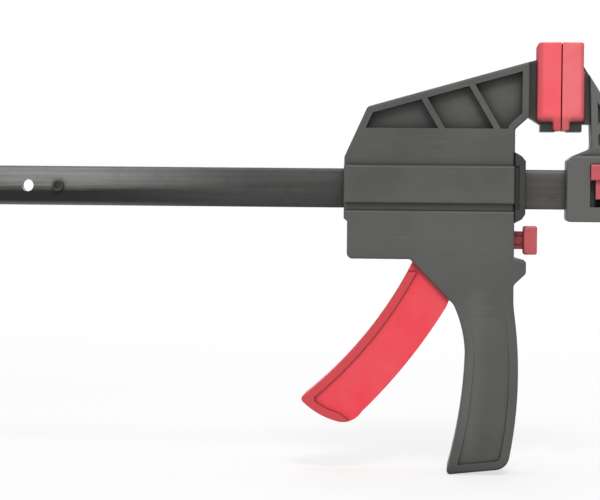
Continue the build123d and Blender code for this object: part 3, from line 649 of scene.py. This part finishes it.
pinLook = dict(
    steelLook,
    colour=(0.035, 0.034, 0.033),
    streak=(0.06, 0.058, 0.055),
    wornAndEdgeShade=(0.14, 0.135, 0.13),
    darkToneAndShade=(0.012, 0.011, 0.01),
    streakScale=30.0,
    scale=0.4,
    edgeWearAndShade=0.6,
    edgeRadius=0.0004,
    metallic=0.7,
    specular=0.4,
    roughness=0.38,
    rubbedRoughness=0.3,
    bump=0.1,
)
plateLook = dict(
    steelLook,
    colour=(0.2, 0.195, 0.19),
    streak=(0.3, 0.29, 0.28),
    wornAndEdgeShade=(0.45, 0.44, 0.43),
    darkToneAndShade=(0.05, 0.045, 0.04),
    streakScale=40.0,
    scale=0.5,
    edgeWearAndShade=0.5,
    edgeRadius=0.0005,
    metallic=0.85,
    specular=0.5,
    roughness=0.4,
    rubbedRoughness=0.32,
    bump=0.15,
)
springLook = dict(
    steelLook,
    colour=(0.3, 0.3, 0.3),
    streak=(0.4, 0.4, 0.4),
    wornAndEdgeShade=(0.5, 0.5, 0.5),
    darkToneAndShade=(0.07, 0.07, 0.07),
    streakScale=60.0,
    scale=0.3,
    edgeWearAndShade=0.2,
    edgeRadius=0.0002,
    metallic=0.9,
    specular=0.5,
    roughness=0.3,
    rubbedRoughness=0.25,
    bump=0.05,
)
screwLook = dict(
    steelLook,
    colour=(0.16, 0.16, 0.165),
    streak=(0.24, 0.24, 0.245),
    wornAndEdgeShade=(0.42, 0.42, 0.42),
    darkToneAndShade=(0.03, 0.03, 0.03),
    streakScale=60.0,
    scale=0.4,
    edgeWearAndShade=0.6,
    edgeRadius=0.0003,
    metallic=0.8,
    specular=0.5,
    roughness=0.36,
    rubbedRoughness=0.28,
    bump=0.08,
)
barSteel = steelFinish("barSteel", barLook, barPaintedLight)
pinSteel = steelFinish("pinSteel", pinLook)
plateSteel = steelFinish("plateSteel", plateLook)
springSteel = steelFinish("springSteel", springLook)
screwSteel = steelFinish("screwSteel", screwLook)
print("finishes mixed")

nodeFinishes = (
    (bodyPlastic, ("near_body_shell", "far_body_shell")),
    (jawPlastic, ("fixed_jaw",)),
    (guidePlastic, ("front_guide",)),
    (redPlastic, ("trigger",)),
    (buttonPlastic, ("release_button", "jaw_lock_button")),
    (barSteel, ("bar",)),
    (pinSteel, ("end_stop_pin", "trigger_pivot_pin", "jaw_lock_pin")),
    (plateSteel, ("rear_drive_plate", "front_drive_plate", "brake_plate")),
    (screwSteel, ("body_screws",)),
)
for finish, names in nodeFinishes:
    for name in names:
        for holder in nodes[name].material_slots:
            holder.material = finish
print("nodes finished")


def gridFaces(rows, columns):
    # Quads between neighbouring rows; the last column joins the first
    row, column = np.meshgrid(np.arange(rows - 1), np.arange(columns), indexing="ij")
    after = (column + 1) % columns
    here, above = row * columns, (row + 1) * columns
    return np.stack((here + column, here + after, above + after, above + column), axis=-1).reshape(-1, 4)


def meshObject(name, points, faces, caps=()):
    # Doubled points at seams and poles are merged, and every face is turned outwards
    mesh = bpy.data.meshes.new(name)
    mesh.from_pydata(points.tolist(), [], faces.tolist() + [list(cap) for cap in caps])
    work = bmesh.new()
    work.from_mesh(mesh)
    bmesh.ops.remove_doubles(work, verts=work.verts, dist=weldDistance)
    bmesh.ops.dissolve_degenerate(work, edges=work.edges, dist=weldDistance)
    bmesh.ops.recalc_face_normals(work, faces=work.faces)
    work.to_mesh(mesh)
    work.free()
    piece = bpy.data.objects.new(name, mesh)
    scene.collection.objects.link(piece)
    return piece


def smoothFaces(piece):
    piece.data.polygons.foreach_set("use_smooth", np.ones(len(piece.data.polygons), dtype=bool))


def roundedBlock(low, high, radius, steps):
    # A ball's points, each moved out to the corner of the inner box that it faces
    low, high = np.array(low, float), np.array(high, float)
    inner = (high - low) / 2 - radius
    polar = np.concatenate((np.linspace(0, 0.5, steps), np.linspace(0.5, 1, steps))) * math.pi
    quarter = np.linspace(0, 0.5, steps) * math.pi
    around = np.concatenate([quarter + turn * math.pi / 2 for turn in range(4)])
    sideX = np.repeat((1, -1, -1, 1), steps)
    sideY = np.repeat((1, 1, -1, -1), steps)
    sideZ = np.repeat((1, -1), steps)
    ball = np.stack(
        (
            np.outer(np.sin(polar), np.cos(around)),
            np.outer(np.sin(polar), np.sin(around)),
            np.outer(np.cos(polar), np.ones_like(around)),
        ),
        axis=-1,
    )
    corner = np.stack(
        (
            np.outer(np.ones_like(polar), sideX),
            np.outer(np.ones_like(polar), sideY),
            np.outer(sideZ, np.ones_like(around)),
        ),
        axis=-1,
    )
    points = (low + high) / 2 + corner * inner + ball * radius
    rows, columns = len(polar), len(around)
    caps = [np.arange(columns), np.arange(columns) + (rows - 1) * columns]
    return points.reshape(-1, 3), gridFaces(rows, columns), caps


def joinedBlocks(blocks):
    points, faces, caps, count = [], [], [], 0
    for blockPoints, blockFaces, blockCaps in blocks:
        points.append(blockPoints)
        faces.append(blockFaces + count)
        caps += [cap + count for cap in blockCaps]
        count += len(blockPoints)
    return np.concatenate(points), np.concatenate(faces), caps


def shares(values):
    return np.clip(values, 0, 1)


# Lengths are in millimetres, and depths are measured back from the clamping face
padSet = {
    "faceWall": 2.95,
    "apronDepth": 4.3,
    "sideWall": 2.6,
    "backDepth": 11.3,
    "lipStart": 8.4,
    "lipReach": 4.6,
    "frontDrop": 4.5,  # from the lips down to the pad's lower edge
    "cap": 3.3,
    "faceRound": 0.5,
    "sideRound": 1.2,
    "lipRound": 2.0,
    "capRound": 1.6,
    "cornerSteps": 10,
    "voxel": 0.34,
    "crown": 0.06,
    "crownPower": 3,
    "groovePitch": 3.1,
    "grooveDepth": 0.45,
    "groovePower": 3,
    "grooveMargin": 3.2,
    "faceReach": 0.8,  # the crown and the grooves act this far from the face
    "rimAbove": 4.6,  # the painted shade starts this far above the lips' lower edge
    "rimHeight": 4.2,
    "apronShade": 0.5,
    "lipShade": 0.4,
    "lipShadeStart": 0.6,
    "lipShadeFade": 1.5,
    "fill": 1.0,
}
movingPadSet = dict(padSet, lipHeight=41.7, lipDepth=12.6)
fixedPadSet = dict(padSet, lipHeight=27.6, lipDepth=11.8)


def makePad(name, node, facing, body, rubber, look):
    # facing is 1 where the clamping face looks along +X
    low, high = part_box(node)
    front = high.x if facing > 0 else low.x
    half, bottom, top = high.y, low.z, high.z

    def block(depths, widths, heights, radius):
        ends = sorted(front - facing * depth * millimetre for depth in depths)
        blockLow = (ends[0], widths[0], heights[0])
        blockHigh = (ends[1], widths[1], heights[1])
        return roundedBlock(blockLow, blockHigh, radius * millimetre, look["cornerSteps"])

    lipBottom = bottom + look["frontDrop"] * millimetre
    lipTop = lipBottom + look["lipHeight"] * millimetre
    inside = half - look["sideWall"] * millimetre
    lipInside = half - look["lipReach"] * millimetre
    capBottom = top - look["cap"] * millimetre
    blocks = [
        block((0, look["faceWall"]), (-half, half), (bottom, top), look["faceRound"]),
        block((0, look["backDepth"]), (-half, half), (capBottom, top), look["capRound"]),
    ]
    for turn in (-1, 1):
        side = sorted((turn * inside, turn * half))
        lip = sorted((turn * lipInside, turn * half))
        blocks.append(block((0, look["apronDepth"]), side, (bottom, top), look["sideRound"]))
        blocks.append(block((0, look["backDepth"]), side, (lipBottom, top), look["sideRound"]))
        blocks.append(block((look["lipStart"], look["lipDepth"]), lip, (lipBottom, lipTop), look["lipRound"]))
    pad = meshObject(name, *joinedBlocks(blocks))
    remesh = pad.modifiers.new("merge", "REMESH")
    remesh.mode = "VOXEL"
    remesh.voxel_size = look["voxel"] * millimetre
    merged = bpy.data.meshes.new_from_object(pad.evaluated_get(bpy.context.evaluated_depsgraph_get()))
    merged.name = name
    pad.modifiers.clear()
    pad.data = merged
    # The clamping face falls away from its middle, and has shallow grooves across it
    count = len(merged.vertices)
    place, normal = np.zeros(count * 3), np.zeros(count * 3)
    merged.vertices.foreach_get("co", place)
    merged.vertices.foreach_get("normal", normal)
    place, normal = place.reshape(-1, 3), normal.reshape(-1, 3)
    middle = (bottom + top) / 2
    halfHeight = top - middle
    sideways, upwards = np.abs(place[:, 1]), np.abs(place[:, 2] - middle)
    onFace = shares(1 - np.abs(place[:, 0] - front) / (look["faceReach"] * millimetre))
    onFace *= shares(normal[:, 0] * facing)
    fall = np.maximum(sideways / half, upwards / halfHeight) ** look["crownPower"]
    wave = 0.5 - 0.5 * np.cos(2 * math.pi * (place[:, 2] - middle) / (look["groovePitch"] * millimetre))
    margin = look["grooveMargin"] * millimetre
    within = shares((half - margin - sideways) / millimetre)
    within *= shares((halfHeight - margin - upwards) / millimetre)
    sink = look["crown"] * fall + look["grooveDepth"] * within * wave ** look["groovePower"]
    place[:, 0] -= facing * sink * onFace * millimetre
    merged.vertices.foreach_set("co", place.ravel())
    # Painted shade grows as a smooth step towards the lower edge, most of all behind, and lies on the lips
    under = (lipBottom - place[:, 2]) / millimetre
    lowStep = shares((under + look["rimAbove"]) / look["rimHeight"])
    depth = facing * (front - place[:, 0]) / millimetre
    behind = shares((depth - look["faceWall"]) / look["faceWall"])
    apronShare = look["apronShade"] + (1 - look["apronShade"]) * behind
    lowEdgeShade = lowStep * lowStep * (3 - 2 * lowStep) * apronShare
    lipShade = shares((depth - look["lipStart"] - look["lipShadeStart"]) / look["lipShadeFade"])
    padShade = merged.attributes.new("lowShade", "FLOAT", "POINT")
    padShade.data.foreach_set("value", np.maximum(lowEdgeShade, lipShade * look["lipShade"]).astype(np.float32))
    merged.update()
    smoothFaces(pad)
    pad.data.materials.append(rubber)
    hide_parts(node)
    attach(pad, body)


makePad("movingJawPad", "moving_jaw_pad", 1, "sliding_body", padRubber, movingPadSet)
makePad("fixedJawPad", "fixed_jaw_pad", -1, "bar_frame", palerPadRubber, fixedPadSet)
print("pads moulded")


def springMesh(name, start, along, look):
    # A circle of wire carried along a helix whose pitch closes up over its end turns
    stations = look["turns"] * look["perTurn"] + 1
    share = np.linspace(0, 1, stations)
    closed = look["closedTurns"] / look["turns"]
    pitch = np.where((share < closed) | (share > 1 - closed), look["wire"] * look["closedPitch"], 0.0)
    free = pitch == 0
    reach = look["length"] - look["wire"]
    used = pitch.sum() / stations * look["turns"]
    pitch[free] = (reach - used) / (free.sum() / stations * look["turns"])
    window = look["perTurn"] // 2
    pitch = np.convolve(np.pad(pitch, window // 2, mode="edge"), np.ones(window) / window, mode="same")
    pitch = pitch[window // 2 : window // 2 + stations]
    rise = np.concatenate(((0.0,), np.cumsum((pitch[1:] + pitch[:-1]) / 2)))
    rise = look["wire"] / 2 + rise / rise[-1] * reach
    angle = 2 * math.pi * look["turns"] * share
    along = Vector(along).normalized()
    outAxis = along.orthogonal().normalized()
    axes = np.array([outAxis[:], along.cross(outAxis)[:], along[:]]) * millimetre
    line = np.stack((look["radius"] * np.cos(angle), look["radius"] * np.sin(angle), rise), axis=-1)
    tangent = np.gradient(line, axis=0)
    tangent /= np.linalg.norm(tangent, axis=1, keepdims=True)
    outwards = np.stack((np.cos(angle), np.sin(angle), np.zeros_like(angle)), axis=-1)
    sideways = np.cross(tangent, outwards)
    ring = np.linspace(0, 2 * math.pi, look["sides"], endpoint=False)
    swell = np.ones(stations)
    swell[0] = swell[-1] = 0.0
    circle = np.outer(np.cos(ring), np.ones(3))[None] * outwards[:, None]
    circle = circle + np.outer(np.sin(ring), np.ones(3))[None] * sideways[:, None]
    points = line[:, None] + circle * (swell * look["wire"] / 2)[:, None, None]
    points = points.reshape(-1, 3) @ axes + np.array(start)
    spring = meshObject(name, points, gridFaces(stations, look["sides"]))
    smoothFaces(spring)
    return spring


def fitSpring(name, node, along, look):
    # The spring stands in its node's box, along the given axis
    low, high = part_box(node)
    axis = int(np.argmax(np.abs(along)))
    start, end = (low + high) / 2, (low + high) / 2
    start[axis], end[axis] = low[axis], high[axis]
    width = [high[index] - low[index] for index in range(3) if index != axis]
    length = (high[axis] - low[axis]) / millimetre
    radius = min(width) / 2 / millimetre - look["wire"] / 2
    spring = springMesh(name, start, along, dict(look, length=length, radius=radius))
    spring.data.materials.append(springSteel)
    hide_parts(node)
    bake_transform(spring)


# The wire is in millimetres, and closed turns lie the closed pitch times the wire apart
springSet = {"closedPitch": 1.02}
driveSpringSet = dict(springSet, wire=1.8, turns=7, closedTurns=1.0, perTurn=48, sides=16)
brakeSpringSet = dict(springSet, wire=0.9, turns=5, closedTurns=1.0, perTurn=40, sides=12)
lockSpringSet = dict(springSet, wire=0.7, turns=4, closedTurns=0.8, perTurn=36, sides=12)
fitSpring("driveSpring", "drive_spring", (1, 0, 0), driveSpringSet)
fitSpring("brakeSpring", "brake_spring", (1, 0, 0), brakeSpringSet)
fitSpring("lockSpring", "jaw_lock_spring", (0, 0, 1), lockSpringSet)
print("springs wound")

floorSet = {
    "radius": 4.0,
    "rings": 9,
    "spokes": 64,
    "drop": 0.0002,  # below the object
    "colour": (0.86, 0.86, 0.86, 1.0),
    "roughness": 0.9,
    "specular": 0.0,
    "shadowRadius": (0.5, 1.3),  # the floor's own shading fades out between these
    "shadedShare": 0.32,  # and has this share within them
}
worldSet = {"strength": 0.42, "colour": white}
lampSets = (
    {
        "name": "keyLamp",
        "place": (0.45, -1.3, 1.25),
        "aim": (0.15, 0.0, -0.02),
        "size": 0.55,
        "watts": 15.5,
        "colour": (1.0, 0.99, 0.97),
    },
    {
        "name": "fillLamp",
        "place": (-0.9, -1.3, 0.25),
        "aim": (0.12, 0.0, -0.04),
        "size": 1.4,
        "watts": 4.5,
        "colour": (0.97, 0.985, 1.0),
    },
    {
        "name": "topLamp",
        "place": (0.1, 0.15, 1.3),
        "aim": (0.15, 0.0, 0.0),
        "size": 1.2,
        "watts": 6.0,
        "colour": (1.0, 1.0, 1.0),
    },
    {
        "name": "backLamp",
        "place": (0.2, 1.4, 0.8),
        "aim": (0.15, 0.0, 0.0),
        "size": 1.3,
        "watts": 8.0,
        "colour": (1.0, 1.0, 1.0),
    },
)


def cameraOrGloss(tree):
    path = addNode(tree, "LightPath")
    seen = math2(tree, "MAXIMUM", path.outputs["Is Camera Ray"], path.outputs["Is Glossy Ray"])
    return math2(tree, "MAXIMUM", seen, path.outputs["Is Transmission Ray"])


def makeFloor(look):
    # A disc of rings round the object's middle
    radii = np.linspace(0, look["radius"], look["rings"])
    around = np.linspace(0, 2 * math.pi, look["spokes"], endpoint=False)
    middle = (cadLow + cadHigh) / 2
    points = np.stack(
        (
            middle.x + np.outer(radii, np.cos(around)),
            middle.y + np.outer(radii, np.sin(around)),
            np.full((len(radii), len(around)), cadLow.z - look["drop"]),
        ),
        axis=-1,
    ).reshape(-1, 3)
    floor = meshObject("paleFloor", points, gridFaces(len(radii), len(around)))
    material, tree, shader = startMaterial("paleFloor")
    shader.inputs["Roughness"].default_value = look["roughness"]
    shader.inputs["Specular IOR Level"].default_value = look["specular"]
    shader.inputs["Base Color"].default_value = look["colour"]
    values = {0: objectPlace(tree), 1: tuple(middle)}
    centred = addNode(tree, "VectorMath", values, operation="SUBTRACT").outputs[0]
    distance = addNode(tree, "VectorMath", {0: centred}, operation="LENGTH").outputs["Value"]
    share = remap(tree, distance, *look["shadowRadius"], 1.0 - look["shadedShare"], 1.0)
    glow = addNode(tree, "Emission", {"Color": white}).outputs[0]
    factor = times(tree, share, cameraOrGloss(tree))
    mix = addNode(tree, "MixShader", {0: factor, 1: shader.outputs[0], 2: glow})
    tree.links.new(mix.outputs[0], tree.nodes["Material Output"].inputs["Surface"])
    floor.data.materials.append(material)


def makeWorld(look):
    world = bpy.data.worlds.new("studioWorld")
    scene.world = world
    world.use_nodes = True
    tree = world.node_tree
    light = tree.nodes["Background"]
    light.inputs["Color"].default_value = look["colour"]
    light.inputs["Strength"].default_value = look["strength"]
    seen = addNode(tree, "Background", {"Color": white}).outputs[0]
    mix = addNode(tree, "MixShader", {0: cameraOrGloss(tree), 1: light.outputs[0], 2: seen})
    tree.links.new(mix.outputs[0], tree.nodes["World Output"].inputs["Surface"])


def makeLamp(look):
    data = bpy.data.lights.new(look["name"], "AREA")
    data.shape = "DISK"
    data.size = look["size"]
    data.energy = look["watts"]
    data.color = look["colour"]
    lamp = bpy.data.objects.new(look["name"], data)
    scene.collection.objects.link(lamp)
    place = Vector(look["place"])
    lamp.matrix_world = aimedMatrix(place, Vector(look["aim"]) - place)


makeFloor(floorSet)
makeWorld(worldSet)
for lampSet in lampSets:
    makeLamp(lampSet)
scene.view_settings.view_transform = "Standard"
print("stage set")
